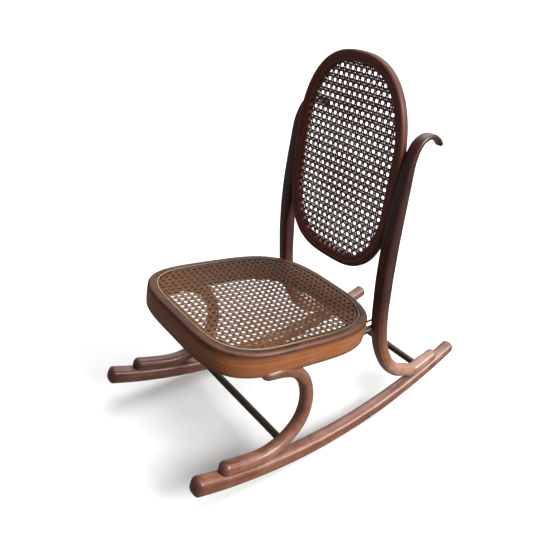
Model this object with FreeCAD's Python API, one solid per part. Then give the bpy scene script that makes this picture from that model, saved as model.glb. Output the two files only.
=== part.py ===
import FreeCAD, Part
import math
import os
from FreeCAD import Vector

# Low bentwood rocking chair with caned seat and caned oval back.
# Millimetres. Z is up, the front of the chair faces -Y, X runs across it.
# The chair stands on the lowest point of its rockers, at y = 0 and z = 0.

# ---------------------------------------------------------------- rockers
rocker_bottom_radius = 923.5
rocker_reach_front = 331.0
rocker_reach_rear = 327.0
rocker_half_height_front = 15.5
rocker_half_height_rear = 12.2
rocker_half_width_front = 14.5
rocker_half_width_rear = 12.0
rocker_squareness = 3.0

# Rest pose: the drawn chair is rocked forward to its point of balance.
rest_rock = 1.76

# The two side frames come closer together towards the rear.
side_offset = 150.2
side_toe_in = 0.045
post_offset = 141.0

# ---------------------------------------------------------------- seat
seat_origin_y = -116.2
seat_origin_z = 263.3
seat_tilt = 8.75
seat_centre = 32.0
seat_half_width = 166.5
seat_half_depth = 177.5
seat_square_front = 4.1
seat_square_rear = 3.2
rim_top = 2.0
rim_bottom = -40.0
rim_band = 24.0
groove_start = 12.6
groove_width = 4.0
groove_depth = 5.0
ledge_drop = 3.0
cane_thickness = 1.6
rim_round_top = 7.0
rim_round_bottom = 3.0

# ---------------------------------------------------------------- back
back_origin_y = 88.6
back_origin_z = 494.2
back_lean = 5.43
back_centre = -10.0
back_half_width = 133.0
back_half_height = 186.0
back_square_top = 2.45
back_square_bottom = 3.0
frame_front = 7.0
frame_rear = -10.0
frame_outer_band = 11.5
frame_full_band = 18.0
bead_front = 4.0
frame_round = 5.0

# ---------------------------------------------------------------- rods
stretcher_radius = 7.0
stretcher_tenon = 9.0
front_stretcher_y = -144.0
front_stretcher_z = 66.0
rear_stretcher_y = 213.0
rear_stretcher_z = 67.0

os.makedirs("parts", exist_ok=True)


def save(name, shape):
    """Write one sub-part to its own STEP file."""
    shape.exportStep("parts/" + name + ".step")


def power(value, exponent):
    """Signed power, used for rounded-square outlines."""
    return math.copysign(abs(value) ** exponent, value)


def closed_curve(points):
    """Smooth closed wire through a ring of points."""
    curve = Part.BSplineCurve()
    curve.interpolate(points, PeriodicFlag=True)
    return Part.Wire([curve.toShape()])


def section(centre, across, along, half_a, half_b, squareness):
    """Rounded-square section of a rod, as a wire."""
    points = []
    count = 20
    for i in range(count):
        t = 2.0 * math.pi * i / count
        a = half_a * power(math.cos(t), 2.0 / squareness)
        b = half_b * power(math.sin(t), 2.0 / squareness)
        points.append(centre + across * a + along * b)
    return closed_curve(points)


def blend(table, where):
    """Straight-line interpolation in rows that start with a position."""
    if where <= table[0][0]:
        return table[0][1:]
    for low, high in zip(table, table[1:]):
        if where <= high[0]:
            f = (where - low[0]) / (high[0] - low[0])
            return [a + (b - a) * f for a, b in zip(low[1:], high[1:])]
    return table[-1][1:]


def rod(path, sizes, offset, toe, stations, round_start, round_end):
    """Bent rod in one upright plane.

    path: points (y, z) of the centre line.
    sizes: rows (fraction of length, half width, half depth, squareness).
    The plane sits at x = offset - toe * y.
    """
    spline = Part.BSplineCurve()
    spline.interpolate([Vector(0, y, z) for y, z in path])
    length = spline.length()
    normal = Vector(1.0, toe, 0.0)
    normal.normalize()
    marks = []
    for i in range(stations + 1):
        marks.append(length * i / stations)
    marks = [s for s in marks if round_start < s < length - round_end]
    steps = (0.03, 0.15, 0.4, 1.0)
    for k in steps:
        marks.append(k * round_start)
        marks.append(length - k * round_end)
    wires = []
    for s in sorted(marks):
        u = spline.parameterAtDistance(s, spline.FirstParameter)
        point = spline.value(u)
        tangent = Vector(0, 0, 0) + spline.tangent(u)[0]
        half_w, half_d, square = blend(sizes, s / length)
        shrink = 1.0
        if s < round_start:
            shrink = math.sqrt(1.0 - (1.0 - s / round_start) ** 2)
        if length - s < round_end:
            shrink = math.sqrt(1.0 - (1.0 - (length - s) / round_end) ** 2)
        place = Vector(offset - toe * point.y, point.y, point.z)
        run = Vector(-toe * tangent.y, tangent.y, tangent.z)
        run.normalize()
        up = normal.cross(run)
        w = half_w * shrink
        d = half_d * shrink
        wires.append(section(place, normal, up, w, d, square))
    return Part.makeLoft(wires, True, True)


def mirrored(shape):
    """Copy reflected across the middle plane of the chair."""
    return shape.mirror(Vector(0, 0, 0), Vector(1, 0, 0))


def outline(half_a, half_b, square_low, square_high, centre_v):
    """Rounded-square outline in a flat (u, v) plane, as (u, v) pairs."""
    pairs = []
    count = 64
    for i in range(count):
        t = 2.0 * math.pi * i / count
        n = square_low if math.sin(t) < 0.0 else square_high
        u = half_a * power(math.cos(t), 2.0 / n)
        v = half_b * power(math.sin(t), 2.0 / n)
        pairs.append((u, centre_v + v))
    return pairs


def seat_point(u, v, h):
    """Point on the seat: u across, v towards the rear, h above the cane."""
    t = math.radians(seat_tilt)
    y = seat_origin_y + v * math.cos(t) + h * math.sin(t)
    z = seat_origin_z - v * math.sin(t) + h * math.cos(t)
    return Vector(u, y, z)


def back_point(u, v, h):
    """Point on the back: u across, v upwards, h forward of the cane."""
    t = math.radians(back_lean)
    y = back_origin_y + v * math.sin(t) - h * math.cos(t)
    z = back_origin_z + v * math.cos(t) + h * math.sin(t)
    return Vector(u, y, z)


def slab(place, pairs, low, high):
    """Flat body with the given outline between two heights."""
    face = Part.Face(closed_curve([place(u, v, low) for u, v in pairs]))
    push = place(0, 0, high) - place(0, 0, low)
    return face.extrude(push)


def seat_slab(inset, low, high):
    """Flat body in the seat plane, inset from the outer edge."""
    pairs = outline(seat_half_width - inset, seat_half_depth - inset,
                    seat_square_front, seat_square_rear, seat_centre)
    return slab(seat_point, pairs, low, high)


def back_slab(inset, low, high):
    """Flat body in the plane of the back, inset from the outer edge."""
    pairs = outline(back_half_width - inset, back_half_height - inset,
                    back_square_bottom, back_square_top, back_centre)
    return slab(back_point, pairs, low, high)


def cylinder(start, end, radius):
    """Round bar between two points."""
    run = end - start
    return Part.makeCylinder(radius, run.Length, start, run)


def screw(head, tip, shank_radius, head_radius, head_depth):
    """Countersunk screw with its flat head at the first point."""
    run = tip - head
    cone = Part.makeCone(head_radius, shank_radius, head_depth, head, run)
    run.normalize()
    neck = head + run * (head_depth - 0.2)
    return cone.fuse(cylinder(neck, tip, shank_radius)).removeSplitter()


# ---------------------------------------------------------------- rockers
def rocker_height(y):
    """Height of the rocker's underside at a given y."""
    r = rocker_bottom_radius
    return r - math.sqrt(r * r - y * y)


def rocker_point(y, above):
    """Point a given distance above the underside, along the radius."""
    r = rocker_bottom_radius
    lean = math.asin(y / r)
    return (y - above * math.sin(lean),
            rocker_height(y) + above * math.cos(lean))


def rocker_half_height(y):
    """Half height of the rocker, thinner towards the rear."""
    span = rocker_reach_front + rocker_reach_rear
    f = (y + rocker_reach_front) / span
    change = rocker_half_height_rear - rocker_half_height_front
    return rocker_half_height_front + f * change


rocker_path = []
for i in range(15):
    span = rocker_reach_front + rocker_reach_rear
    y = -rocker_reach_front + span * i / 14.0
    rocker_path.append(rocker_point(y, rocker_half_height(y)))
rocker_sizes = [
    (0.0, rocker_half_width_front, rocker_half_height_front,
     rocker_squareness),
    (1.0, rocker_half_width_rear, rocker_half_height_rear,
     rocker_squareness)]
rocker = rod(rocker_path, rocker_sizes, side_offset, side_toe_in,
             20, 9.0, 9.0)
rod_rocker = rocker


def on_rocker(y, above):
    """Centre-line point lying a distance above the top of the rocker."""
    return rocker_point(y, 2.0 * rocker_half_height(y) + above)


# ---------------------------------------------------------------- front legs
# From the tip under the seat, back and down round the bow,
# then forward along the top of the rocker.
leg_path = [
    (-192.0, 232.5),
    (-178.0, 230.0),
    (-161.0, 227.5),
    (-144.5, 222.5),
    (-129.5, 215.0),
    (-115.0, 202.5),
    (-103.0, 184.0),
    (-96.0, 162.0),
    (-94.0, 138.0),
    (-98.0, 114.0),
    (-108.5, 93.0),
    (-125.5, 78.0),
    (-147.5, 67.8),
    on_rocker(-173.0, 8.8),
    on_rocker(-200.0, 6.8),
    on_rocker(-228.0, 6.0),
    on_rocker(-258.0, 6.0),
    on_rocker(-285.0, 6.0)]
leg_sizes = [
    (0.0, 9.0, 8.0, 2.4),
    (0.08, 11.5, 10.5, 2.4),
    (0.25, 12.0, 11.5, 2.2),
    (0.6, 12.0, 12.0, 2.2),
    (0.8, 12.5, 13.0, 2.5),
    (1.0, 12.5, 13.0, 2.6)]
leg = rod(leg_path, leg_sizes, side_offset, side_toe_in, 34, 12.0, 11.0)

# ---------------------------------------------------------------- back posts
# From the end lying on the rocker, forward and up round the bend,
# up beside the back, over into a scroll that turns to the rear.
post_path = [
    on_rocker(276.0, 12.0),
    on_rocker(252.0, 12.0),
    on_rocker(228.0, 12.0),
    on_rocker(204.0, 12.5),
    (177.0, 69.0),
    (156.0, 79.0),
    (137.0, 93.0),
    (119.5, 112.0),
    (106.0, 134.0),
    (96.0, 158.0),
    (88.5, 184.0),
    (84.0, 210.0),
    (81.0, 240.0),
    (79.2, 270.0),
    (78.8, 300.0),
    (79.3, 335.0),
    (80.8, 370.0),
    (83.4, 405.0),
    (87.0, 440.0),
    (90.8, 470.0),
    (94.2, 498.0),
    (98.0, 521.5),
    (104.0, 538.0),
    (111.0, 549.5),
    (120.0, 556.5),
    (130.5, 559.5),
    (142.0, 558.5),
    (152.5, 553.5),
    (160.5, 546.5),
    (165.5, 539.5)]
post_sizes = [
    (0.0, 11.5, 12.0, 2.3),
    (0.16, 12.2, 12.3, 2.2),
    (0.30, 12.6, 12.3, 2.3),
    (0.36, 13.0, 12.3, 2.5),
    (0.42, 13.3, 12.4, 2.8),
    (0.47, 13.4, 12.8, 3.1),
    (0.52, 13.4, 13.4, 3.3),
    (0.60, 13.4, 13.3, 3.4),
    (0.68, 13.3, 12.4, 3.4),
    (0.76, 13.0, 10.7, 3.2),
    (0.83, 12.3, 8.6, 3.0),
    (0.90, 10.8, 6.0, 2.8),
    (0.95, 9.6, 4.6, 2.8),
    (1.0, 8.0, 3.6, 2.6)]
post = rod(post_path, post_sizes, post_offset, 0.0, 46, 11.0, 5.0)

# ---------------------------------------------------------------- seat
rim = seat_slab(0.0, rim_bottom, rim_top)
rim = rim.cut(seat_slab(rim_band, rim_bottom - 5.0, rim_top + 5.0))
top_edges = []
bottom_edges = []
for edge in rim.Edges:
    box = edge.BoundBox
    if box.XLength > 2.0 * seat_half_width - 5.0:
        lift = edge.valueAt(edge.FirstParameter)
        top = seat_point(lift.x, seat_centre, rim_top)
        if abs(lift.z - top.z) < 2.0:
            top_edges.append(edge)
        else:
            bottom_edges.append(edge)
rim = rim.makeFillet(rim_round_top, top_edges)
bottom_edges = []
for edge in rim.Edges:
    box = edge.BoundBox
    if box.XLength > 2.0 * seat_half_width - 5.0:
        lift = edge.valueAt(edge.FirstParameter)
        low = seat_point(lift.x, seat_centre, rim_bottom)
        if abs(lift.z - low.z) < 2.0:
            bottom_edges.append(edge)
rim = rim.makeFillet(rim_round_bottom, bottom_edges)
groove_end = groove_start + groove_width
floor_of_ledge = rim_top - ledge_drop
rim = rim.cut(seat_slab(groove_end, floor_of_ledge, rim_top + 5.0))
groove_low = rim_top - groove_depth
groove_body = seat_slab(groove_start, groove_low, rim_top + 5.0)
groove_body = groove_body.cut(seat_slab(groove_end, groove_low - 1.0,
                                        rim_top + 6.0))
rim = rim.cut(groove_body)

seat_spline = seat_slab(groove_start, groove_low, rim_top - 0.4)
seat_spline = seat_spline.cut(seat_slab(groove_end, groove_low - 1.0,
                                        rim_top + 6.0))
seat_cane = seat_slab(groove_end, floor_of_ledge,
                      floor_of_ledge + cane_thickness)

# ---------------------------------------------------------------- back
back_frame = back_slab(0.0, frame_rear, frame_front)
round_edges = []
for edge in back_frame.Edges:
    if edge.BoundBox.XLength > 2.0 * back_half_width - 5.0:
        round_edges.append(edge)
back_frame = back_frame.makeFillet(frame_round, round_edges)
back_frame = back_frame.cut(back_slab(frame_full_band, frame_rear - 5.0,
                                      frame_front + 5.0))
back_frame = back_frame.cut(back_slab(frame_outer_band, -1.0,
                                      frame_front + 5.0))
back_cane = back_slab(frame_outer_band, -1.0, -1.0 + cane_thickness)
back_bead = back_slab(frame_outer_band, -1.0 + cane_thickness, bead_front)
back_bead = back_bead.cut(back_slab(frame_full_band, -5.0,
                                    frame_front + 5.0))

# ---------------------------------------------------------------- stretchers
def stretcher(y, z, reach):
    """Round bar across the chair, running into both side members."""
    return cylinder(Vector(-reach, y, z), Vector(reach, y, z),
                    stretcher_radius)


front_reach = side_offset - side_toe_in * front_stretcher_y
front_reach = front_reach - 12.0 + stretcher_tenon
rear_reach = post_offset - 12.0 + stretcher_tenon
front_stretcher = stretcher(front_stretcher_y, front_stretcher_z,
                            front_reach)
rear_stretcher = stretcher(rear_stretcher_y, rear_stretcher_z, rear_reach)


# ---------------------------------------------------------------- fasteners
def side_x(y):
    """Middle of the side frame at a given y."""
    return side_offset - side_toe_in * y


# Screws that come up through the rockers into the legs and posts.
low = rocker_height(176.0)
rocker_screw_front = screw(
    Vector(side_x(-176.0), -176.0, low - 1.4),
    Vector(side_x(-184.5), -184.5, low + 43.0), 2.2, 4.2, 3.0)
low = rocker_height(250.0)
rocker_screw_rear = screw(
    Vector(side_x(250.0), 250.0, low - 1.6),
    Vector(side_x(250.0), 237.0, low + 43.0), 2.2, 4.4, 3.0)

# Screws up through the flat tips of the front legs into the seat rim.
tongue_v = -52.0
tongue_x = 154.0
leg_seat_screw = screw(
    seat_point(tongue_x, tongue_v, rim_bottom - 13.9),
    seat_point(tongue_x, tongue_v, rim_bottom + 15.0), 2.0, 4.0, 3.0)

# Fixings between the rear corners of the seat and the posts.
link_x = 133.5
bolt_z = 208.5
upper_screw_z = 228.0
spacer = cylinder(Vector(link_x, 26.0, bolt_z),
                  Vector(link_x, 90.0, bolt_z), 6.5)
dome_y = 95.4
bolt_shank = cylinder(Vector(link_x, 36.0, bolt_z),
                      Vector(link_x, dome_y + 1.5, bolt_z), 2.5)
bolt_dome = Part.makeSphere(7.0, Vector(link_x, dome_y - 3.0, bolt_z))
bolt_dome = bolt_dome.common(cylinder(Vector(link_x, dome_y, bolt_z),
                                      Vector(link_x, 110.0, bolt_z), 9.0))
seat_bolt = bolt_shank.fuse(bolt_dome).removeSplitter()
seat_screw = cylinder(Vector(link_x, 38.0, upper_screw_z),
                      Vector(link_x, 84.0, upper_screw_z), 1.8)

# Oblique screws from behind the posts into the edge of the back frame.
frame_screw_lower = screw(Vector(135.5, 97.6, 432.0),
                          Vector(125.0, 80.0, 432.0), 1.8, 3.8, 2.6)
frame_screw_upper = screw(Vector(135.5, 104.0, 500.0),
                          Vector(125.0, 87.0, 500.0), 1.8, 3.8, 2.6)

# ---------------------------------------------------------------- joints
# Each member is cut to sit against its neighbour and around its fixings.
rocker = rocker.cut(rocker_screw_front).cut(rocker_screw_rear)
leg = leg.cut(rod_rocker).cut(rim).cut(front_stretcher)
leg = leg.cut(rocker_screw_front).cut(leg_seat_screw)
post = post.cut(rod_rocker).cut(back_frame).cut(rear_stretcher)
for fixing in (rocker_screw_rear, seat_bolt, seat_screw,
               frame_screw_lower, frame_screw_upper):
    post = post.cut(fixing)
spacer = spacer.cut(rim).cut(post).cut(seat_bolt)
spacer = sorted(spacer.Solids, key=lambda item: item.CenterOfMass.y)[-1]
for fixing in (leg_seat_screw, seat_bolt, seat_screw):
    rim = rim.cut(fixing).cut(mirrored(fixing))
for fixing in (frame_screw_lower, frame_screw_upper):
    back_frame = back_frame.cut(fixing).cut(mirrored(fixing))


def largest(shape):
    """Keep the main body and drop any loose sliver."""
    return sorted(shape.Solids, key=lambda item: item.Volume)[-1]


def rocked(shape):
    """Copy rolled along the floor to where the chair balances."""
    moved = shape.copy()
    moved.rotate(Vector(0, 0, rocker_bottom_radius), Vector(1, 0, 0),
                 rest_rock)
    return moved


# The rockers are the longest and lowest members, so they centre the chair.
corners = rocked(rocker).tessellate(0.1)[0]
y_values = [corner.y for corner in corners]
z_values = [corner.z for corner in corners]
rest_shift_y = -0.5 * (min(y_values) + max(y_values))
rest_shift_z = -min(z_values)


def stand(shape):
    """Rock the chair to where it balances and centre it lengthways."""
    moved = rocked(shape)
    moved.translate(Vector(0, rest_shift_y, rest_shift_z))
    return moved


def save_pair(name, shape):
    """Left and right copies of a side member, each in its own file."""
    save(name + "_left", stand(shape))
    save(name + "_right", stand(mirrored(shape)))


def save_group(name, shape):
    """One file holding the left and right copies of a small fixing."""
    save(name, stand(Part.Compound([shape, mirrored(shape)])))


save_pair("rocker", largest(rocker))
save_pair("front_leg", largest(leg))
save_pair("back_post", largest(post))
save("seat_rim", stand(largest(rim)))
save("seat_spline", stand(seat_spline))
save("seat_cane", stand(seat_cane))
save("back_frame", stand(largest(back_frame)))
save("back_bead", stand(back_bead))
save("back_cane", stand(back_cane))
save("front_stretcher", stand(front_stretcher))
save("rear_stretcher", stand(rear_stretcher))
save_group("seat_spacers", spacer)
save_group("seat_bolts", seat_bolt)
save_group("seat_screws", seat_screw)
save_group("leg_screws", leg_seat_screw)
save_group("rocker_screws_front", rocker_screw_front)
save_group("rocker_screws_rear", rocker_screw_rear)
save_group("back_screws_lower", frame_screw_lower)
save_group("back_screws_upper", frame_screw_upper)
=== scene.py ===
import math

import bpy
import numpy as np
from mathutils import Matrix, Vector


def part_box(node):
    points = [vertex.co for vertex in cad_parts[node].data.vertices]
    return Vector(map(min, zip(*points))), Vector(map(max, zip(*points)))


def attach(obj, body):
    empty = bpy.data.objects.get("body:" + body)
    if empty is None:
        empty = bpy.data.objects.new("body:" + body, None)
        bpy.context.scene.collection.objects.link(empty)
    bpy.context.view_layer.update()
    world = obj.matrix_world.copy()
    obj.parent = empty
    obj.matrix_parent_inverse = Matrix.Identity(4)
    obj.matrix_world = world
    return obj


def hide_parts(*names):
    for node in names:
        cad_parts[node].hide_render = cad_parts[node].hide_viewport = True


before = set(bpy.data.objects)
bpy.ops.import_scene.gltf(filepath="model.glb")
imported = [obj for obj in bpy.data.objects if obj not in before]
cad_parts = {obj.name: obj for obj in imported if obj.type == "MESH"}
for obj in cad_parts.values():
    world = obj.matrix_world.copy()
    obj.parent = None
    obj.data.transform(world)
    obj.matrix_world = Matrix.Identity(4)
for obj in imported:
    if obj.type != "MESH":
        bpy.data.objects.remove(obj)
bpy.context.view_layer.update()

# ------------------------------------------------------------ drawing sizes
# The chair is drawn in millimetres, in the frame in which the lowest point of
# the rockers' arc is the origin. place() turns that into the row frame: rolled
# forward to the balance point, centred and in metres.
METRES = 0.001
ARC = 923.5                               # radius of the rockers' underside
ROLL = math.radians(1.76)
HALF_FRONT, HALF_REAR = 15.5, 12.2        # half heights of a rocker's ends
REACH_FRONT, REACH_REAR = 331.0, 327.0    # how far a rocker reaches each way
SIDE_OFFSET, TOE = 150.2, 0.045           # rockers and legs: out from the middle, toed in
POST_OFFSET = 141.0
SEAT_TILT, SEAT_ORIGIN = math.radians(8.75), (-116.2, 263.3)
BACK_LEAN, BACK_ORIGIN = math.radians(5.43), (88.6, 494.2)

# How finely things are made, and how unevenly.
CURVE_SAMPLES, CURVE_NUDGE = 4000, 0.05   # nudge: mm each way for a direction
OUTLINE_SAMPLES = 3000
ROCKER_STATIONS = 15
END_STEPS = (0.004, 0.03, 0.08, 0.16, 0.28, 0.42, 0.6, 0.8)    # shares of a rounded end
BAR_SIDES, BAR_STATIONS = 28, 90
CAP_STEP = 0.02                           # mm that an end's middle stands out
UNEVEN = 0.13                             # mm of wobble in a bent rod
OFF_FLOOR = 0.02                          # mm under the rockers
RIGHT_GRAIN = (0.07, 0.04, 1.3)           # shifts the grain of right-hand copies
QUARTER = np.pi / 2.0

# An outline: half width, half length, the powers that square its low and high
# ends, and where its middle is along its length.
SEAT = (166.5, 177.5, 4.1, 3.2, 32.0)
BACK = (133.0, 186.0, 3.0, 2.45, -10.0)


def rolled(p):
    """Drawing points rolled about the centre of the rockers' arc, in mm."""
    p = np.asarray(p, float)
    c, s = math.cos(ROLL), math.sin(ROLL)
    y, z = p[..., 1], p[..., 2] - ARC
    return np.stack([p[..., 0], c * y - s * z, s * y + c * z + ARC], -1)


# ------------------------------------------------------------ mesh helpers
def new_mesh(name, verts, faces, attributes, material):
    """A smooth mesh piece that rides on the chair."""
    mesh = bpy.data.meshes.new(name)
    mesh.from_pydata([tuple(v) for v in verts], [], faces)
    mesh.update()
    mesh.polygons.foreach_set("use_smooth", [True] * len(mesh.polygons))
    for key, values in attributes.items():
        values = np.asarray(values, np.float32)
        kind = "FLOAT_VECTOR" if values.ndim == 2 else "FLOAT"
        layer = mesh.attributes.new(key, kind, "POINT")
        field = "vector" if values.ndim == 2 else "value"
        layer.data.foreach_set(field, values.ravel())
    mesh.materials.append(material)
    obj = bpy.data.objects.new(name, mesh)
    bpy.context.scene.collection.objects.link(obj)
    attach(obj, "root")
    return obj


def mirror(verts, faces):
    """Verts and faces reflected across the middle plane."""
    out = np.array(verts, float)
    out[:, 0] *= -1.0
    return out, [tuple(reversed(f)) for f in faces]


def smoothstep(x, low, high):
    """0 below low, 1 above high, and a smooth rise between them."""
    t = np.clip((np.asarray(x, float) - low) / (high - low), 0.0, 1.0)
    return t * t * (3.0 - 2.0 * t)


def curve_through(points):
    """Natural cubic spline through points (y, z).

    Returns its length, and a function of the lengths along it that gives
    positions and directions.
    """
    p = np.asarray(points, float)
    d = np.concatenate([[0.0], np.cumsum(np.linalg.norm(np.diff(p, axis=0), axis=1))])
    n = len(p)
    h = np.diff(d)
    a = np.zeros((n, n))
    b = np.zeros((n, 2))
    a[0, 0] = a[-1, -1] = 1.0
    for i in range(1, n - 1):
        a[i, i - 1] = h[i - 1]
        a[i, i] = 2.0 * (h[i - 1] + h[i])
        a[i, i + 1] = h[i]
        b[i] = 6.0 * ((p[i + 1] - p[i]) / h[i] - (p[i] - p[i - 1]) / h[i - 1])
    m = np.linalg.solve(a, b)

    def at(t):
        i = np.clip(np.searchsorted(d, t, side="right") - 1, 0, n - 2)
        x = (t - d[i])[:, None]
        k = h[i][:, None]
        bend = (m[i] * (k - x) ** 3 + m[i + 1] * x ** 3) / (6.0 * k)
        start = (p[i] / k - m[i] * k / 6.0) * (k - x)
        end = (p[i + 1] / k - m[i + 1] * k / 6.0) * x
        return bend + start + end

    fine = np.linspace(0.0, d[-1], CURVE_SAMPLES)
    q = at(fine)
    length = np.concatenate([[0.0], np.cumsum(np.linalg.norm(np.diff(q, axis=0), axis=1))])

    def by_length(s):
        t = np.interp(s, length, fine)
        t0 = np.clip(t - CURVE_NUDGE, 0, d[-1])
        t1 = np.clip(t + CURVE_NUDGE, 0, d[-1])
        run = at(t1) - at(t0)
        return at(t), run / np.linalg.norm(run, axis=1)[:, None]

    return by_length, length[-1]


def table(rows, where):
    """Columns of rows after the first, read at places in the first."""
    rows = np.asarray(rows, float)
    return [np.interp(where, rows[:, 0], rows[:, k]) for k in range(1, rows.shape[1])]


def wobble(s, t, seed, size):
    """Slow, small unevenness of a hand-bent rod."""
    return size * (np.sin(s * 0.031 + seed) * np.cos(2.0 * t + seed * 1.7)
                   + 0.6 * np.sin(s * 0.083 + 2.1 * seed + 3.0 * t)
                   + 0.4 * np.sin(s * 0.17 + 0.7 * seed - 2.0 * t))


def rod(path, sizes, offset, toe, round_start, round_end, seed, stations=170, around=44):
    """Bent rod with rounded ends, in an upright plane.

    sizes holds (share of length, half width, half depth, squareness). Returns
    its verts, faces, grain (across, across, along) and share of length.
    """
    by_length, total = curve_through(path)
    marks = list(np.linspace(round_start, total - round_end, stations))
    for k in END_STEPS:
        marks += [k * round_start, total - k * round_end]
    marks = np.array(sorted(marks))
    spot, run2 = by_length(marks)
    half_w, half_d, square = table(sizes, marks / total)
    shrink = np.ones(len(marks))
    low, high = marks < round_start, total - marks < round_end
    shrink[low] = np.sqrt(1.0 - (1.0 - marks[low] / round_start) ** 2)
    shrink[high] = np.sqrt(1.0 - (1.0 - (total - marks[high]) / round_end) ** 2)
    normal = np.array([1.0, toe, 0.0]) / math.hypot(1.0, toe)
    centre = np.stack([offset - toe * spot[:, 0], spot[:, 0], spot[:, 1]], -1)
    run = np.stack([-toe * run2[:, 0], run2[:, 0], run2[:, 1]], -1)
    run /= np.linalg.norm(run, axis=1)[:, None]
    up = np.cross(normal, run)
    t = 2.0 * np.pi * np.arange(around) / around
    verts, grain, side = [], [], []
    for i in range(len(marks)):
        e = 2.0 / square[i]
        ca = np.sign(np.cos(t)) * np.abs(np.cos(t)) ** e
        sa = np.sign(np.sin(t)) * np.abs(np.sin(t)) ** e
        w = half_w[i] * shrink[i] + wobble(marks[i], t, seed, UNEVEN) * shrink[i]
        d = half_d[i] * shrink[i] + wobble(marks[i], t, seed + 4.0, UNEVEN) * shrink[i]
        a, b = ca * w, sa * d
        verts.append(centre[i] + np.outer(a, normal) + np.outer(b, up[i]))
        grain.append(np.stack([a, b, np.full(around, marks[i])], -1))
        side.append(np.full(around, marks[i] / total))
    count = len(marks)
    faces = []
    for i in range(count - 1):
        for j in range(around):
            k = (j + 1) % around
            faces.append((i * around + j, i * around + k,
                          (i + 1) * around + k, (i + 1) * around + j))
    verts = np.concatenate(verts)
    grain = np.concatenate(grain)
    side = np.concatenate(side)
    first, last = len(verts), len(verts) + 1
    verts = np.vstack([verts, centre[0] - run[0] * CAP_STEP, centre[-1] + run[-1] * CAP_STEP])
    grain = np.vstack([grain, [0, 0, marks[0]], [0, 0, marks[-1]]])
    side = np.concatenate([side, [0.0, 1.0]])
    for j in range(around):
        k = (j + 1) % around
        faces.append((first, k, j))
        base = (count - 1) * around
        faces.append((last, base + j, base + k))
    return verts, faces, grain * METRES, side


# ------------------------------------------------------------ side frames
def rocker_point(y, above):
    """Point (y, z) above the underside of the rockers, square to their arc."""
    lean = math.asin(y / ARC)
    height = ARC - math.sqrt(ARC * ARC - y * y)
    return (y - above * math.sin(lean), height + above * math.cos(lean))


def half_height(y):
    """Half the height of a rocker, which tapers to the rear."""
    return HALF_FRONT + (y + REACH_FRONT) / (REACH_FRONT + REACH_REAR) * (HALF_REAR - HALF_FRONT)


def on_rocker(y, above):
    """Point (y, z) above the top of a rocker."""
    return rocker_point(y, 2.0 * half_height(y) + above)


rocker_path = [rocker_point(y, half_height(y))
               for y in np.linspace(-REACH_FRONT, REACH_REAR, ROCKER_STATIONS)]
rocker_sizes = [(0.0, 14.5, HALF_FRONT, 3.0), (1.0, 12.0, HALF_REAR, 3.0)]
leg_path = [
    (-192.0, 232.5), (-178.0, 230.0), (-161.0, 227.5), (-144.5, 222.5), (-129.5, 215.0),
    (-115.0, 202.5), (-103.0, 184.0), (-96.0, 162.0), (-94.0, 138.0), (-98.0, 114.0),
    (-108.5, 93.0), (-125.0, 77.0), (-145.0, 66.0), (-167.0, 59.3),
    on_rocker(-200.0, 7.6), on_rocker(-228.0, 6.0), on_rocker(-258.0, 6.0),
    on_rocker(-285.0, 6.0)]
leg_sizes = [(0.0, 9.0, 8.0, 2.4), (0.08, 11.5, 10.5, 2.4), (0.25, 12.0, 11.5, 2.2),
             (0.6, 12.0, 12.0, 2.2), (0.8, 12.5, 13.0, 2.5), (1.0, 12.5, 13.0, 2.6)]
post_path = [
    on_rocker(276.0, 12.0), on_rocker(252.0, 12.0), on_rocker(228.0, 12.4),
    on_rocker(204.0, 14.2), (178.0, 70.0), (156.0, 79.0), (137.0, 93.0), (119.5, 112.0),
    (106.0, 134.0), (95.2, 158.0), (87.6, 184.0), (83.0, 210.0), (80.2, 240.0),
    (79.2, 270.0), (78.8, 300.0), (79.3, 335.0), (80.8, 370.0), (83.4, 405.0),
    (87.0, 440.0), (90.8, 470.0), (94.2, 498.0), (98.0, 521.5), (104.0, 538.0),
    (111.0, 549.5), (120.0, 556.5), (130.5, 559.5), (142.0, 558.5), (152.5, 553.5),
    (160.5, 546.5), (165.5, 539.5)]
post_sizes = [
    (0.0, 11.5, 12.0, 2.3), (0.16, 12.4, 12.8, 2.2), (0.30, 13.2, 13.4, 2.3),
    (0.36, 13.5, 13.5, 2.5), (0.42, 13.6, 13.1, 2.8), (0.47, 13.4, 12.8, 3.1),
    (0.52, 13.4, 13.4, 3.3), (0.60, 13.4, 13.3, 3.4), (0.68, 13.3, 12.4, 3.4),
    (0.76, 13.0, 10.7, 3.2), (0.83, 12.3, 8.6, 3.0), (0.90, 10.8, 6.0, 2.8),
    (0.95, 9.6, 4.6, 2.8), (1.0, 8.0, 3.6, 2.6)]

rocker = rod(rocker_path, rocker_sizes, SIDE_OFFSET, TOE, 9.0, 9.0, 1.0)
front_leg = rod(leg_path, leg_sizes, SIDE_OFFSET, TOE, 12.0, 11.0, 2.0)
back_post = rod(post_path, post_sizes, POST_OFFSET, 0.0, 11.0, 5.0, 3.0, stations=220)

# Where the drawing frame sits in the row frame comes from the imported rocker.
rocker_verts = rolled(rocker[0])
low_corner, high_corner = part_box("rocker_left")
SHIFT_Y = (0.5 * (low_corner.y + high_corner.y) / METRES
           - 0.5 * (rocker_verts[:, 1].min() + rocker_verts[:, 1].max()))
SHIFT_Z = low_corner.z / METRES - rocker_verts[:, 2].min() + OFF_FLOOR


def place(p):
    """Drawing millimetres to row frame metres."""
    return (rolled(p) + np.array([0.0, SHIFT_Y, SHIFT_Z])) * METRES


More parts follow.
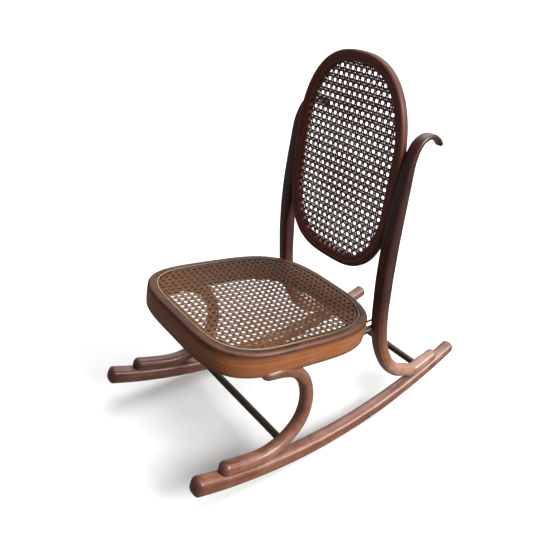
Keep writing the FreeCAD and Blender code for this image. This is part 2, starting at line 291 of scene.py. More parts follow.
# ------------------------------------------------------------ seat and back planes
def seat_point(u, v, h):
    """Point u across, v towards the rear and h above the seat plane."""
    c, s = math.cos(SEAT_TILT), math.sin(SEAT_TILT)
    u, v, h = np.broadcast_arrays(*[np.asarray(k, float) for k in (u, v, h)])
    return np.stack([u, SEAT_ORIGIN[0] + v * c + h * s, SEAT_ORIGIN[1] - v * s + h * c], -1)


def back_point(u, v, h):
    """Point u across, v up and h in front of the back plane."""
    c, s = math.cos(BACK_LEAN), math.sin(BACK_LEAN)
    u, v, h = np.broadcast_arrays(*[np.asarray(k, float) for k in (u, v, h)])
    return np.stack([u, BACK_ORIGIN[0] + v * s - h * c, BACK_ORIGIN[1] + v * c + h * s], -1)


def outline(shape, inset, t):
    """Rounded-square outline of the seat or the back at angles t."""
    a, b, n_low, n_high, centre = shape
    n = np.where(np.sin(t) < 0.0, n_low, n_high)
    u = (a - inset) * np.sign(np.cos(t)) * np.abs(np.cos(t)) ** (2.0 / n)
    v = (b - inset) * np.sign(np.sin(t)) * np.abs(np.sin(t)) ** (2.0 / n)
    return u, centre + v


def even_angles(shape, inset, count):
    """Angles that divide an outline into equal lengths."""
    # The powers crowd the points of the outline, so the corners get extra angles.
    base = np.linspace(0.0, QUARTER, OUTLINE_SAMPLES)
    warp = np.concatenate([base ** 3 / (QUARTER) ** 2 * 0.5, base])
    warp = np.unique(np.concatenate([warp, QUARTER - warp]))
    warp = warp[(warp >= 0) & (warp <= QUARTER)]
    t = np.unique(np.concatenate([warp + k * QUARTER for k in range(4)]))
    u, v = outline(shape, inset, t)
    s = np.concatenate([[0.0], np.cumsum(np.hypot(np.diff(u), np.diff(v)))])
    return np.interp(np.linspace(0.0, s[-1], count, endpoint=False), s, t), s[-1]


def ring(to_space, shape, profile, count, middle):
    """Closed moulding with a profile of (inset, height) points.

    Its stations are even along the outline that is inset by middle.
    """
    t, total = even_angles(shape, middle, count)
    verts, grain = [], []
    for inset, height in profile:
        u, v = outline(shape, inset, t)
        verts.append(to_space(u, v, height))
        grain.append(np.stack([np.full(count, inset), np.full(count, height),
                               np.arange(count) * total / count], -1))
    faces = []
    for k in range(len(profile)):
        nk = (k + 1) % len(profile)
        for j in range(count):
            nj = (j + 1) % count
            faces.append((k * count + j, k * count + nj, nk * count + nj, nk * count + j))
    return np.concatenate(verts), faces, np.concatenate(grain) * METRES


def arc(cx, cy, r, start, end, n):
    """Profile points on an arc, degrees, in (inset, height)."""
    a = np.radians(np.linspace(start, end, n))
    return [(cx + r * math.cos(k), cy + r * math.sin(k)) for k in a]


# ------------------------------------------------------------ materials
def nodes_of(name):
    """A new material, its node tree and its Principled shader."""
    mat = bpy.data.materials.new(name)
    mat.use_nodes = True
    nt = mat.node_tree
    nt.nodes.clear()
    out = nt.nodes.new("ShaderNodeOutputMaterial")
    shader = nt.nodes.new("ShaderNodeBsdfPrincipled")
    nt.links.new(shader.outputs["BSDF"], out.inputs["Surface"])
    return mat, nt, shader


class Tree:
    """Short calls for building a node tree."""

    def __init__(self, nt):
        self.nt = nt

    def node(self, kind, **settings):
        n = self.nt.nodes.new(kind)
        for key, value in settings.items():
            setattr(n, key, value)
        return n

    def link(self, a, b):
        self.nt.links.new(a, b)

    def put(self, socket, value):
        if hasattr(value, "links"):
            self.link(value, socket)
        else:
            socket.default_value = value

    def attribute(self, name, field="Vector"):
        n = self.node("ShaderNodeAttribute", attribute_type="GEOMETRY", attribute_name=name)
        return n.outputs[field]

    def math(self, op, a, b, clamp=False):
        n = self.node("ShaderNodeMath", operation=op, use_clamp=clamp)
        self.put(n.inputs[0], a)
        self.put(n.inputs[1], b)
        return n.outputs[0]

    def add(self, a, b, clamp=False):
        return self.math("ADD", a, b, clamp)

    def times(self, a, b):
        return self.math("MULTIPLY", a, b)

    def less(self, a, b, clamp=False):
        return self.math("SUBTRACT", a, b, clamp)

    def vector(self, op, a, b):
        n = self.node("ShaderNodeVectorMath", operation=op)
        self.put(n.inputs[0], a)
        self.put(n.inputs[1], b)
        return n.outputs[0]

    def noise(self, vector, scale=1.0, detail=4.0, rough=0.55, distortion=0.0):
        n = self.node("ShaderNodeTexNoise")
        self.put(n.inputs["Vector"], vector)
        n.inputs["Scale"].default_value = scale
        n.inputs["Detail"].default_value = detail
        n.inputs["Roughness"].default_value = rough
        n.inputs["Distortion"].default_value = distortion
        return n.outputs["Fac"]

    def ramp(self, value, low, high):
        """Value stretched so that low becomes 0 and high becomes 1."""
        n = self.node("ShaderNodeMapRange")
        self.put(n.inputs["Value"], value)
        n.inputs["From Min"].default_value = low
        n.inputs["From Max"].default_value = high
        n.inputs["To Min"].default_value = 0.0
        n.inputs["To Max"].default_value = 1.0
        n.clamp = True
        return n.outputs["Result"]

    def mix(self, fac, a, b):
        """Colour a where fac is 0, b where it is 1."""
        n = self.node("ShaderNodeMix", data_type="RGBA")
        n.clamp_factor = True
        self.put(n.inputs[0], fac)
        for socket, value in ((n.inputs[6], a), (n.inputs[7], b)):
            if hasattr(value, "links"):
                self.link(value, socket)
            else:
                socket.default_value = tuple(value) + (1.0,) * (4 - len(value))
        return n.outputs[2]

    def bump(self, height, strength, distance, normal=None):
        n = self.node("ShaderNodeBump")
        n.inputs["Strength"].default_value = strength
        n.inputs["Distance"].default_value = distance
        self.put(n.inputs["Height"], height)
        if normal is not None:
            self.link(normal, n.inputs["Normal"])
        return n.outputs["Normal"]



def wood(name, dark, mid, light, worn_and_highlight, varnish_and_shade_tint, rough, coat):
    """Varnished steam-bent wood: fibres run along the bend.

    The mesh carries grain (metres across, across, along), tone (how pale it is
    there, with painted light on some lit sides), wear (rubbed places, with a
    painted highlight in some of them) and shade (aged dark varnish in places, and
    painted shade in others: undersides, under the seat, the rim's top, the
    spline's groove and the far copies).
    """
    mat, nt, shader = nodes_of(name)
    t = Tree(nt)
    grain = t.attribute("grain")
    tone = t.attribute("tone", "Fac")
    wear = t.attribute("wear", "Fac")
    shade = t.attribute("shade", "Fac")
    where = t.node("ShaderNodeTexCoord").outputs["Object"]
    streak = t.noise(t.vector("MULTIPLY", grain, (330.0, 330.0, 7.0)), 1.0, 6.0, 0.62, 0.25)
    fibre = t.noise(t.vector("MULTIPLY", grain, (1500.0, 1500.0, 30.0)), 1.0, 4.0, 0.6)
    fleck = t.noise(t.vector("MULTIPLY", grain, (2300.0, 2300.0, 130.0)), 1.0, 2.0, 0.5)
    cloud = t.noise(t.vector("MULTIPLY", grain, (40.0, 40.0, 11.0)), 1.0, 3.0, 0.5, 0.3)
    stain = t.noise(where, 26.0, 5.0, 0.6, 0.2)

    # Streaks of dark and mid wood, with the light colour where tone is high: a pale finish, and
    # painted light on the seat rim's lit side and in the posts' lower bends.
    colour = t.mix(t.ramp(streak, 0.30, 0.70), dark, mid)
    lit = t.add(t.times(tone, 0.75), t.times(t.ramp(cloud, 0.3, 0.7), 0.30))
    lit = t.times(lit, t.ramp(t.add(streak, t.times(fibre, 0.35)), 0.36, 0.92))
    colour = t.mix(lit, colour, light)

    # Rubbed places, which in the posts' lower bends and on the rockers' tops and rear also stand
    # for a painted highlight.
    rub = t.add(stain, t.times(fibre, 0.5))
    rub = t.add(rub, t.times(wear, 0.35))
    rub = t.times(wear, t.ramp(rub, 0.76, 1.10))
    colour = t.mix(rub, colour, worn_and_highlight)

    # Aged dark varnish and painted shade, where the shade attribute sets them, with an uneven
    # edge.
    varnish_and_shade = t.mix(t.ramp(t.add(streak, t.times(cloud, 0.4)), 0.5, 0.9),
                [k * 0.55 for k in varnish_and_shade_tint], [k * 1.6 for k in varnish_and_shade_tint])
    edge = t.times(t.less(stain, 0.5), 0.5)
    edge = t.add(shade, t.times(edge, t.times(shade, 1.6)), clamp=True)
    colour = t.mix(edge, colour, varnish_and_shade)

    # Short dark pores.
    pores = t.ramp(fleck, 0.60, 0.74)
    colour = t.mix(t.times(pores, 0.40), colour, [k * 0.4 for k in dark])
    t.link(colour, shader.inputs["Base Color"])

    gloss = t.add(t.times(t.ramp(stain, 0.3, 0.75), rough[1] - rough[0]), rough[0])
    gloss = t.add(gloss, t.times(fibre, 0.08))
    t.link(gloss, shader.inputs["Roughness"])
    height = t.add(t.times(streak, 0.5), t.times(fibre, 0.35))
    height = t.less(height, t.times(pores, 0.4))
    normal = t.bump(height, 0.28, 0.0004)
    dents = t.noise(where, 55.0, 3.0, 0.5)
    normal = t.bump(dents, 0.16, 0.0012, normal)
    t.link(normal, shader.inputs["Normal"])
    shader.inputs["Coat Weight"].default_value = coat
    shader.inputs["Coat Roughness"].default_value = 0.24
    shader.inputs["Specular IOR Level"].default_value = 0.25
    return mat


def cane(name, dark, mid, light, smoothest=0.30, roughest=0.50):
    """Split rattan: fibres along the strand, paler high in the weave and darker low in it, as
    painted light and shade.

    The mesh carries grain (across, thickness, along), level (height in the
    weave), tone (how golden it is there) and strand (a number for each strand).
    """
    mat, nt, shader = nodes_of(name)
    t = Tree(nt)
    grain = t.attribute("grain")
    level = t.attribute("level", "Fac")
    tone = t.attribute("tone", "Fac")
    each = t.attribute("strand", "Fac")
    where = t.node("ShaderNodeTexCoord").outputs["Object"]
    fibre = t.noise(t.vector("MULTIPLY", grain, (2600.0, 2600.0, 60.0)), 1.0, 4.0, 0.6)
    patch = t.noise(where, 16.0, 4.0, 0.6, 0.3)
    speck = t.noise(t.vector("MULTIPLY", grain, (700.0, 700.0, 120.0)), 1.0, 3.0, 0.6)

    colour = t.mix(t.ramp(fibre, 0.35, 0.7), dark, mid)
    mottle = t.ramp(t.add(t.times(patch, 0.6), t.times(each, 0.4)), 0.25, 0.75)
    # Paler high in the weave: painted light on the tops of the strands.
    pale = t.times(t.times(tone, mottle), t.add(0.35, t.times(level, 0.65)))
    colour = t.mix(pale, colour, light)
    # Painted shade low in the weave, under the crossing strands.
    low_painted_shade = t.times(t.less(1.0, level, clamp=True), 0.55)
    colour = t.mix(low_painted_shade, colour, [k * 0.4 for k in dark])
    specks = t.times(t.ramp(speck, 0.58, 0.72), 0.4)
    colour = t.mix(specks, colour, [k * 0.5 for k in dark])
    t.link(colour, shader.inputs["Base Color"])

    gloss = t.times(t.ramp(patch, 0.3, 0.7), roughest - smoothest)
    t.link(t.add(smoothest, gloss), shader.inputs["Roughness"])
    t.link(t.bump(fibre, 0.25, 0.0002), shader.inputs["Normal"])
    shader.inputs["Coat Weight"].default_value = 0.05
    shader.inputs["Coat Roughness"].default_value = 0.25
    shader.inputs["Specular IOR Level"].default_value = 0.22
    return mat


def steel(name):
    """Old bronzed screws: dark, dusty, rubbed bright in places."""
    mat, nt, shader = nodes_of(name)
    t = Tree(nt)
    where = t.node("ShaderNodeTexCoord").outputs["Object"]
    spots = t.noise(where, 900.0, 4.0, 0.6)
    rub = t.noise(where, 260.0, 3.0, 0.5)
    colour = t.mix(t.ramp(spots, 0.4, 0.65), (0.020, 0.016, 0.014), (0.075, 0.058, 0.048))
    colour = t.mix(t.times(t.ramp(rub, 0.6, 0.75), 0.5), colour, (0.22, 0.19, 0.16))
    t.link(colour, shader.inputs["Base Color"])
    t.link(t.add(0.35, t.times(spots, 0.3)), shader.inputs["Roughness"])
    t.link(t.bump(spots, 0.3, 0.0002), shader.inputs["Normal"])
    shader.inputs["Metallic"].default_value = 0.8
    return mat


def plain_wood(name):
    """Dark turned wood for a small CAD node, which has no grain attributes."""
    mat, nt, shader = nodes_of(name)
    t = Tree(nt)
    where = t.node("ShaderNodeTexCoord").outputs["Object"]
    streak = t.noise(t.vector("MULTIPLY", where, (500.0, 40.0, 500.0)), 1.0, 5.0, 0.6)
    stain = t.noise(where, 60.0, 4.0, 0.6)
    colour = t.mix(t.ramp(streak, 0.35, 0.68), (0.018, 0.008, 0.008), (0.050, 0.024, 0.020))
    colour = t.mix(t.times(t.ramp(stain, 0.45, 0.7), 0.5), colour, (0.085, 0.046, 0.038))
    t.link(colour, shader.inputs["Base Color"])
    t.link(t.add(0.32, t.times(stain, 0.3)), shader.inputs["Roughness"])
    t.link(t.bump(streak, 0.3, 0.0003), shader.inputs["Normal"])
    return mat


# Each wood gives dark, mid and light wood, the rubbed colour (also a painted highlight), the dark
# tint of aged varnish and painted shade, roughness from and to, and coat.
side_wood = wood("side_wood", (0.060, 0.018, 0.010), (0.160, 0.052, 0.027),
                 (0.350, 0.132, 0.066), (0.50, 0.31, 0.245), (0.044, 0.0140, 0.0125),
                 (0.27, 0.44), 0.50)
dark_wood = wood("dark_wood", (0.075, 0.0175, 0.0105), (0.170, 0.044, 0.0270),
                 (0.230, 0.075, 0.045), (0.28, 0.12, 0.07), (0.055, 0.0165, 0.0120),
                 (0.36, 0.54), 0.10)
rim_wood = wood("rim_wood", (0.110, 0.031, 0.010), (0.190, 0.059, 0.018),
                (0.390, 0.145, 0.056), (0.46, 0.22, 0.12), (0.030, 0.0090, 0.0062),
                (0.30, 0.48), 0.10)
bar_wood = wood("bar_wood", (0.027, 0.015, 0.013), (0.058, 0.035, 0.031),
                (0.100, 0.062, 0.052), (0.10, 0.06, 0.05), (0.028, 0.016, 0.014),
                (0.30, 0.52), 0.40)
reed = wood("reed", (0.100, 0.050, 0.020), (0.24, 0.135, 0.050),
            (0.50, 0.33, 0.14), (0.55, 0.42, 0.26), (0.024, 0.010, 0.007), (0.3, 0.45), 0.2)
seat_cane_skin = cane("seat_cane_skin", (0.062, 0.022, 0.010), (0.140, 0.056, 0.023),
                      (0.230, 0.105, 0.034))
back_cane_skin = cane("back_cane_skin", (0.075, 0.0200, 0.0210), (0.160, 0.046, 0.045),
                      (0.190, 0.068, 0.060))
screw_steel = steel("screw_steel")
spacer_wood = plain_wood("spacer_wood")


def looks(count, **values):
    """Attributes with a value for each of count points, between 0 and 1."""
    return {key: np.clip(np.broadcast_to(np.asarray(value, float), (count,)), 0.0, 1.0)
            for key, value in values.items()}


# ------------------------------------------------------------ bent members
def pair(name, data, member_looks, far_painted_shade):
    """Left and right copies of a bent member. The right one, on the far side from the key light,
    is darker: painted shade.
    """
    verts, faces, grain, side = data
    values = member_looks(verts[:, 2], grain[:, 1] / METRES, side)
    verts = place(verts)
    for suffix in ("left", "right"):
        if suffix == "right":
            verts, faces = mirror(verts, faces)
            grain = grain + np.array(RIGHT_GRAIN)
            # The far copy turns away from the key light and gets painted shade.
            values["shade"] = np.clip(values["shade"] + far_painted_shade, 0.0, 1.0)
        obj = new_mesh(name + "_" + suffix + "_wood", verts, faces,
                       {"grain": grain, **values}, side_wood)
        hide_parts(name + "_" + suffix)


def ends(side, reach):
    """1 at both ends of a member, falling to 0 at a share of its length."""
    return 1.0 - smoothstep(np.minimum(side, 1.0 - side), 0.0, reach)


def rocker_looks(height, depth, side):
    """Rubbed on top and towards the rear, partly as a painted highlight; dark at the tips, and
    painted shade below.
    """
    top, low = smoothstep(depth, 6.0, 12.0), 1.0 - smoothstep(depth, -13.0, -6.0)
    return looks(len(side), tone=0.42 - 0.3 * ends(side, 0.0382),
                 wear=0.20 + 0.15 * top + 0.30 * smoothstep(side, 0.68, 0.92),
                 shade=0.45 * ends(side, 0.0441) + 0.35 * low)


def leg_looks(height, depth, side):
    """Paler up to the bow, dark at the tip of the foot, and painted shade under the seat."""
    foot = 1.0 - side
    tip = 1.0 - smoothstep(foot, 0.0, 0.0393)
    return looks(len(side), tone=0.60 - 0.25 * smoothstep(side, 0.55, 0.75) - 0.3 * tip,
                 wear=0.35,
                 shade=(0.45 * (1.0 - smoothstep(foot, 0.0, 0.0429))
                        + 0.20 * smoothstep(height, 190.0, 225.0)))


def post_looks(height, depth, side):
    """Pale and rubbed in the lower bend, partly as a painted highlight; darker above it, partly
    aged dark varnish and partly painted shade above the seat.
    """
    return looks(len(side), tone=0.85 - 0.6 * smoothstep(height, 120.0, 300.0),
                 wear=0.10 + 0.62 * (1.0 - smoothstep(height, 90.0, 190.0)),
                 shade=(0.92 * smoothstep(height, 150.0, 290.0)
                        - 0.25 * smoothstep(height, 525.0, 560.0)
                        + 0.6 * (1.0 - smoothstep(side, 0.0, 0.0257))))


# Painted shade on the far copies, most on the front legs.
pair("rocker", rocker, rocker_looks, far_painted_shade=0.12)
pair("front_leg", front_leg, leg_looks, far_painted_shade=0.40)
pair("back_post", back_post, post_looks, far_painted_shade=0.12)


# ------------------------------------------------------------ mouldings
def moulding(name, node, to_space, shape, profile, count, middle, material, ring_looks,
             grain_shift=(0.0, 0.0, 0.0)):
    """A ring of the seat or the back with its finish."""
    verts, faces, grain = ring(to_space, shape, profile, count, middle)
    values = ring_looks(verts, grain[:, 0] / METRES, grain[:, 1] / METRES)
    obj = new_mesh(name, place(verts), faces,
                   {"grain": grain + np.array(grain_shift), **values}, material)
    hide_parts(node)


def rim_looks(verts, inset, height):
    """Painted shade on top and at the bottom edge, less along the rounded outer edge, with a
    rubbed upper arris, and paler towards +x as painted light on the lit side.
    """
    crest = np.exp(-((inset - 3.0) / 2.0) ** 2)
    arris = np.exp(-((inset - 2.0) ** 2 + (height + 0.5) ** 2) / 8.0)
    return looks(len(verts), tone=0.75 + 0.25 * smoothstep(verts[:, 0], -40.0, 150.0),
                 shade=(0.92 * smoothstep(height, -8.5, -2.0) - 0.30 * crest
                        + 0.5 * (1.0 - smoothstep(height, -41.0, -36.0))),
                 wear=0.2 + 0.5 * arris)


def spline_looks(verts, inset, height):
    """Golden towards the front and darker to the rear, with painted shade along both edges where
    it sinks into its groove.
    """
    rear = verts[:, 1]
    return looks(len(verts), tone=0.95 - 0.75 * smoothstep(rear, -150.0, 40.0),
                 shade=(smoothstep(np.abs(inset - 14.4), 0.5, 1.3)
                        + 0.45 * smoothstep(rear, -150.0, 20.0)),
                 wear=0.5)


def frame_looks(verts, inset, height):
    """A little paler towards the cane."""
    return looks(len(verts), tone=0.25 + 0.3 * smoothstep(inset, 3.0, 9.0),
                 shade=0.45 - 0.30 * smoothstep(inset, 3.0, 9.5), wear=0.12)


def bead_looks(verts, inset, height):
    return looks(len(verts), tone=0.30, shade=0.15, wear=0.25)


rim_profile = (arc(3.0, -39.5, 3.0, 270.0, 180.0, 6)
               + [(-0.5, -31.0), (-0.7, -21.0), (-0.5, -12.0)]
               + arc(6.0, -4.0, 6.0, 180.0, 95.0, 10)
               + [(8.5, 2.1), (11.6, 1.9), (12.4, 1.4), (12.6, 0.4), (12.6, -3.0),
                  (16.6, -3.0), (16.7, -1.3), (17.2, -1.0), (22.0, -1.0), (23.4, -1.5),
                  (24.0, -3.0), (24.0, -12.0), (24.0, -26.0), (24.0, -40.5), (23.0, -42.5)])
moulding("seat_rim_wood", "seat_rim", seat_point, SEAT, rim_profile, 360, 6.0,
         rim_wood, rim_looks)

spline_profile = ([(12.7, -2.8), (12.7, 0.2)]
                  + [(14.65 - 1.95 * math.cos(a), 0.2 + 1.9 * math.sin(a))
                     for a in np.linspace(0.25, math.pi - 0.25, 8)]
                  + [(16.6, 0.2), (16.6, -2.8)])
moulding("seat_spline_reed", "seat_spline", seat_point, SEAT, spline_profile, 360, 14.6,
         reed, spline_looks)

frame_profile = (arc(5.9, 1.0, 5.9, 180.0, 95.0, 10)
                 + [(7.2, 6.85), (8.9, 6.4), (10.3, 5.7), (11.2, 4.9), (11.5, 4.2),
                    (11.5, -1.0), (18.0, -1.0), (18.0, -8.5), (17.0, -10.0)]
                 + arc(5.0, -5.0, 5.0, 270.0, 180.0, 7))
moulding("back_frame_wood", "back_frame", back_point, BACK, frame_profile, 320, 6.0,
         dark_wood, frame_looks)

bead_profile = [(11.5, 0.4), (11.5, 3.9), (11.9, 4.2), (13.4, 4.1), (15.4, 3.8), (17.0, 3.3),
                (18.2, 2.4), (18.9, 1.2), (18.8, 0.4)]
moulding("back_bead_wood", "back_bead", back_point, BACK, bead_profile, 320, 14.0,
         dark_wood, bead_looks, grain_shift=(0.05, 0.02, 0.4))


# ------------------------------------------------------------ woven cane
# A strand's section, in shares of its width and thickness.
STRAND_SECTION = ((-0.5, -0.10), (-0.27, 0.34), (0.0, 0.5), (0.27, 0.34), (0.5, -0.10),
                  (0.40, -0.42), (-0.40, -0.42))
SIDES = len(STRAND_SECTION)
# Stations in one cell: closer where a straight strand crosses a pair.
STRAIGHT_STEPS = np.array([0.0, 0.12, 0.2, 0.26, 0.32, 0.38, 0.44, 0.5, 0.56, 0.62, 0.68,
                           0.74, 0.8, 0.88])
SLANT_STEPS = np.arange(10) / 10.0
EDGE_TUCK = 0.6            # mm that a strand goes past the inset outline
EDGE_DIP = 1.7             # mm that it dives there, under the spline or the bead


def inside(shape, inset, u, v):
    """How far inside an inset outline points are, about in mm."""
    a, b, n_low, n_high, centre = shape
    n = np.where(v - centre < 0.0, n_low, n_high)
    r = (np.abs(u / (a - inset)) ** n + np.abs((v - centre) / (b - inset)) ** n) ** (1.0 / n)
    return (1.0 - r) * np.minimum(a, b)


def pair_wave(x, spread):
    """Rise and fall of a straight strand over the pair that it crosses."""
    x = (x + 0.5) % 1.0 - 0.5
    return np.where(np.abs(x) < 2.0 * spread, np.sin(np.pi * x / (2.0 * spread)), 0.0)


def slant_wave(x):
    """Rise and fall of a diagonal strand, flat over each crossing."""
    return np.tanh(1.7 * np.cos(2.0 * np.pi * x)) / math.tanh(1.7)


def strand_lines(n_u, n_v, spread):
    """Lines of the six sets of strands, as cell coordinates and heights."""
    lines = {"upright_a": [], "upright_b": [], "cross_a": [], "cross_b": [],
             "slant_a": [], "slant_b": []}
    for i in range(-n_u - 1, n_u + 1):
        steps = np.concatenate([STRAIGHT_STEPS + j for j in range(-n_v - 1, n_v + 1)])
        for key, side in (("upright_a", -1.0), ("upright_b", 1.0)):
            x = np.full(len(steps), i + 0.5 + side * spread)
            lines[key].append((x, steps, -side * 0.5 * pair_wave(steps - 0.5, spread)))
    for j in range(-n_v - 1, n_v + 1):
        steps = np.concatenate([STRAIGHT_STEPS + i for i in range(-n_u - 1, n_u + 1)])
        for key, side in (("cross_a", -1.0), ("cross_b", 1.0)):
            y = np.full(len(steps), j + 0.5 + side * spread)
            lines[key].append((steps, y, side * 0.5 * pair_wave(steps - 0.5, spread)))
    reach = n_u + n_v + 2
    for k in range(-reach, reach):
        steps = np.concatenate([SLANT_STEPS + j for j in range(-reach, reach)])
        lines["slant_a"].append((0.5 + k + steps, steps, 1.1 * slant_wave(steps)))
        lines["slant_b"].append((0.5 + k - steps, steps, -1.1 * slant_wave(steps)))
    return lines


def strand(key, number, line, to_space, shape, sizes, tone, sag):
    """Verts and attributes of one strand inside the panel, or None."""
    x, y, z = line
    width, thick = sizes["width"], sizes["thick"]
    u = (x + sizes["phase"][0]) * sizes["pitch"][0]
    v = (y + sizes["phase"][1]) * sizes["pitch"][1]
    depth = inside(shape, sizes["inset"], u, v)
    keep = depth > -EDGE_TUCK
    if keep.sum() < 6:
        return None
    u, v, z, depth = u[keep], v[keep], z[keep], depth[keep]

    # Each strand wanders a little sideways and has a width of its own.
    seed = number * 2.399 + len(key)
    shiver = 0.09 * np.sin(0.07 * (u + v) + seed) + 0.05 * np.sin(0.19 * (u - v) + 2 * seed)
    run_u, run_v = np.gradient(u), np.gradient(v)
    size = np.hypot(run_u, run_v)
    side_u, side_v = -run_v / size, run_u / size
    u, v = u + side_u * shiver, v + side_v * shiver
    wide = 1.0 + 0.07 * math.sin(5.0 * seed) - (0.10 if key.startswith("slant") else 0.0)

    dip = EDGE_DIP * (1.0 - smoothstep(depth, 0.0, 3.2))
    middle = sizes["base"] + z * thick * 1.02 - dip - sag(u, v)
    across = np.array([k[0] for k in STRAND_SECTION]) * width
    above = np.array([k[1] for k in STRAND_SECTION]) * thick
    uu = u[:, None] + side_u[:, None] * across[None, :] * wide
    vv = v[:, None] + side_v[:, None] * across[None, :] * wide
    hh = middle[:, None] + above[None, :]
    length = np.concatenate([[0.0], np.cumsum(np.hypot(np.diff(u), np.diff(v)))])
    grain = np.stack(np.broadcast_arrays(
        across[None, :] + number * 7.3, above[None, :], length[:, None]), -1)
    level = np.clip(0.5 + 0.42 * z[:, None] + 0.25 * above[None, :] / thick, 0.0, 1.0)
    return {"verts": to_space(uu, vv, hh).reshape(-1, 3),
            "grain": grain.reshape(-1, 3) * METRES,
            "level": level.ravel(),
            "tone": np.repeat(tone(u, v), SIDES),
            "strand": np.full(len(u) * SIDES, (number * 0.618034) % 1.0)}


def weave(name, node, to_space, shape, sizes, material, tone, sag):
    """Six-way cane: two uprights, two crosswise and two diagonals a cell."""
    n_u = int(shape[0] / sizes["pitch"][0]) + 2
    n_v = int(shape[1] / sizes["pitch"][1]) + 5
    for key, lines in strand_lines(n_u, n_v, sizes["spread"]).items():
        parts, faces, total = [], [], 0
        for number, line in enumerate(lines):
            part = strand(key, number, line, to_space, shape, sizes, tone, sag)
            if part is None:
                continue
            count = len(part["level"])
            a = np.arange(0, count - SIDES, SIDES)[:, None]
            b = np.arange(SIDES)[None, :]
            c = (b + 1) % SIDES
            quads = np.stack([a + b, a + SIDES + b, a + SIDES + c, a + c], -1)
            faces.append(quads.reshape(-1, 4) + total)
            total += count
            parts.append(part)
        whole = {field: np.concatenate([part[field] for part in parts]) for field in parts[0]}
        verts = place(whole.pop("verts"))
        obj = new_mesh(name + "_" + key, verts, np.concatenate(faces).tolist(),
                       whole, material)
        if key == "upright_a":
            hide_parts(node)


def seat_tone(u, v):
    """Golden at the front, browner to the rear and on the far side."""
    rear = smoothstep(v + 0.25 * np.abs(u), -130.0, 90.0)
    return np.clip(0.90 - 0.70 * rear + 0.25 * smoothstep(u, 40.0, 140.0), 0.0, 1.0)


def seat_sag(u, v):
    return 1.8 * smoothstep(inside(SEAT, 20.0, u, v), 0.0, 120.0)


def back_tone(u, v):
    return np.full(np.shape(u), 0.5)


def flat(u, v):
    return np.zeros(np.shape(u))


# pitch is one cell's size, phase its start in cells, base the weave's height,
# inset the panel's edge, and spread half the gap of a pair in cells.
SEAT_CANE = {"pitch": (12.12, 12.90), "phase": (0.54, 0.826), "base": 0.35, "inset": 15.6,
             "width": 2.80, "thick": 0.75, "spread": 0.166}
BACK_CANE = {"pitch": (13.31, 13.40), "phase": (0.01, 0.906), "base": -0.3, "inset": 14.5,
             "width": 3.05, "thick": 0.75, "spread": 0.164}
weave("seat_weave", "seat_cane", seat_point, SEAT, SEAT_CANE, seat_cane_skin,
      seat_tone, seat_sag)
weave("back_weave", "back_cane", back_point, BACK, BACK_CANE, back_cane_skin,
      back_tone, flat)


# ------------------------------------------------------------ cross bars
def bar(name, node, seed):
    """Round cross bar that swells slightly in the middle, from the node's box."""
    low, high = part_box(node)
    radius = 0.5 * (high.z - low.z)
    cy, cz = 0.5 * (low.y + high.y), 0.5 * (low.z + high.z)
    around = 2.0 * np.pi * np.arange(BAR_SIDES) / BAR_SIDES
    verts, grain = [], []
    for x in np.linspace(low.x, high.x, BAR_STATIONS):
        swell = 0.955 + 0.045 * math.cos(x * 11.0)
        r = radius * swell + wobble(x / METRES, around, seed, 0.08 * METRES)
        xs, ys, zs = np.full(BAR_SIDES, x), r * np.cos(around), r * np.sin(around)
        verts.append(np.stack([xs, cy + ys, cz + zs], -1))
        grain.append(np.stack([ys, zs, xs], -1))
    faces = []
    for i in range(0, (BAR_STATIONS - 1) * BAR_SIDES, BAR_SIDES):
        for j in range(BAR_SIDES):
            k = (j + 1) % BAR_SIDES
            faces.append((i + j, i + BAR_SIDES + j, i + BAR_SIDES + k, i + k))
    faces.append(tuple(range(BAR_SIDES)))
    faces.append(tuple(reversed(range((BAR_STATIONS - 1) * BAR_SIDES, BAR_STATIONS * BAR_SIDES))))
    values = looks(BAR_SIDES * BAR_STATIONS, tone=0.2, shade=0.3, wear=0.15)
    obj = new_mesh(name, np.concatenate(verts), faces,
                   {"grain": np.concatenate(grain), **values}, bar_wood)
    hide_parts(node)


bar("front_stretcher_wood", "front_stretcher", 5.0)
bar("rear_stretcher_wood", "rear_stretcher", 6.0)

# Small fixings keep their exact shapes and get their own finish.
FIXINGS = {"seat_bolts": screw_steel, "seat_screws": screw_steel, "leg_screws": screw_steel,
           "rocker_screws_front": screw_steel, "rocker_screws_rear": screw_steel,
           "back_screws_lower": screw_steel, "back_screws_upper": screw_steel,
           "seat_spacers": spacer_wood}
for node, material in FIXINGS.items():
    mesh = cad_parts[node].data
    mesh.materials.clear()
    mesh.materials.append(material)

# ------------------------------------------------------------ floor and background
FLOOR_REACH = 40.0
FLOOR_DROP = 0.0004        # keeps the floor clear of the rockers
corners = [(-FLOOR_REACH, -FLOOR_REACH, 0), (FLOOR_REACH, -FLOOR_REACH, 0),
           (FLOOR_REACH, FLOOR_REACH, 0), (-FLOOR_REACH, FLOOR_REACH, 0)]
floor_mesh = bpy.data.meshes.new("floor")
floor_mesh.from_pydata(corners, [], [(0, 1, 2, 3)])
floor = bpy.data.objects.new("floor", floor_mesh)
floor.location.z = -FLOOR_DROP
bpy.context.scene.collection.objects.link(floor)
paper, nt, shader = nodes_of("floor_paper")
shader.inputs["Base Color"].default_value = (0.94, 0.95, 0.945, 1.0)
shader.inputs["Roughness"].default_value = 0.7
shader.inputs["Specular IOR Level"].default_value = 0.2
floor_mesh.materials.append(paper)
# A pale floor in diffuse and glossy rays would wash out the dark wood.
floor.visible_diffuse = False
floor.visible_glossy = False

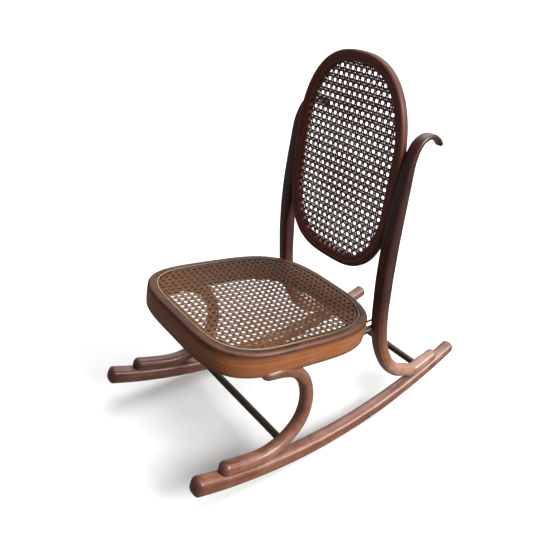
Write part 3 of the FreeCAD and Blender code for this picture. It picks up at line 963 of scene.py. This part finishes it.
# The world lights the chair softly, and a paler background is what shows.
world = bpy.data.worlds.new("studio")
bpy.context.scene.world = world
world.use_nodes = True
tree = Tree(world.node_tree)
light = world.node_tree.nodes["Background"]
light.inputs["Color"].default_value = (1.0, 1.0, 1.0, 1.0)
light.inputs["Strength"].default_value = 0.22
seen = tree.node("ShaderNodeBackground")
seen.inputs["Color"].default_value = (0.97, 0.98, 0.97, 1.0)
choose = tree.node("ShaderNodeMixShader")
tree.link(tree.node("ShaderNodeLightPath").outputs["Is Camera Ray"], choose.inputs[0])
tree.link(light.outputs[0], choose.inputs[1])
tree.link(seen.outputs[0], choose.inputs[2])
tree.link(choose.outputs[0], world.node_tree.nodes["World Output"].inputs["Surface"])


# ------------------------------------------------------------ lights and camera
def wide_sun(name, source, strength, spread, colour):
    """A broad soft light from far away, from the direction of source."""
    data = bpy.data.lights.new(name, "SUN")
    data.energy = strength
    data.angle = math.radians(spread)
    data.color = colour
    obj = bpy.data.objects.new(name, data)
    obj.rotation_euler = (-Vector(source)).to_track_quat("-Z", "Y").to_euler()
    bpy.context.scene.collection.objects.link(obj)


wide_sun("window", (1.0, 0.52, 0.62), 4.9, 36.0, (1.0, 0.985, 0.965))
wide_sun("ceiling", (-0.1, 0.50, 1.0), 2.5, 66.0, (1.0, 1.0, 1.0))
wide_sun("backdrop", (-0.70, 0.60, 0.46), 0.5, 60.0, (0.97, 0.97, 1.0))

IMAGE_WIDTH, FOCAL_LENGTH = 550.0, 605.0      # both in pixels of the square picture
CAMERA_PLACE = (0.75431, -0.64708, 0.82181)
CAMERA_TURN = (61.03633, -3.31985, 53.92283)  # degrees about X, then Y, then Z
camera_data = bpy.data.cameras.new("camera")
camera_data.sensor_width = 36.0
camera_data.lens = camera_data.sensor_width * FOCAL_LENGTH / IMAGE_WIDTH
camera = bpy.data.objects.new("camera", camera_data)
camera.location = CAMERA_PLACE
camera.rotation_euler = [math.radians(angle) for angle in CAMERA_TURN]
bpy.context.scene.collection.objects.link(camera)
bpy.context.scene.camera = camera
bpy.context.scene.view_settings.view_transform = "Standard"
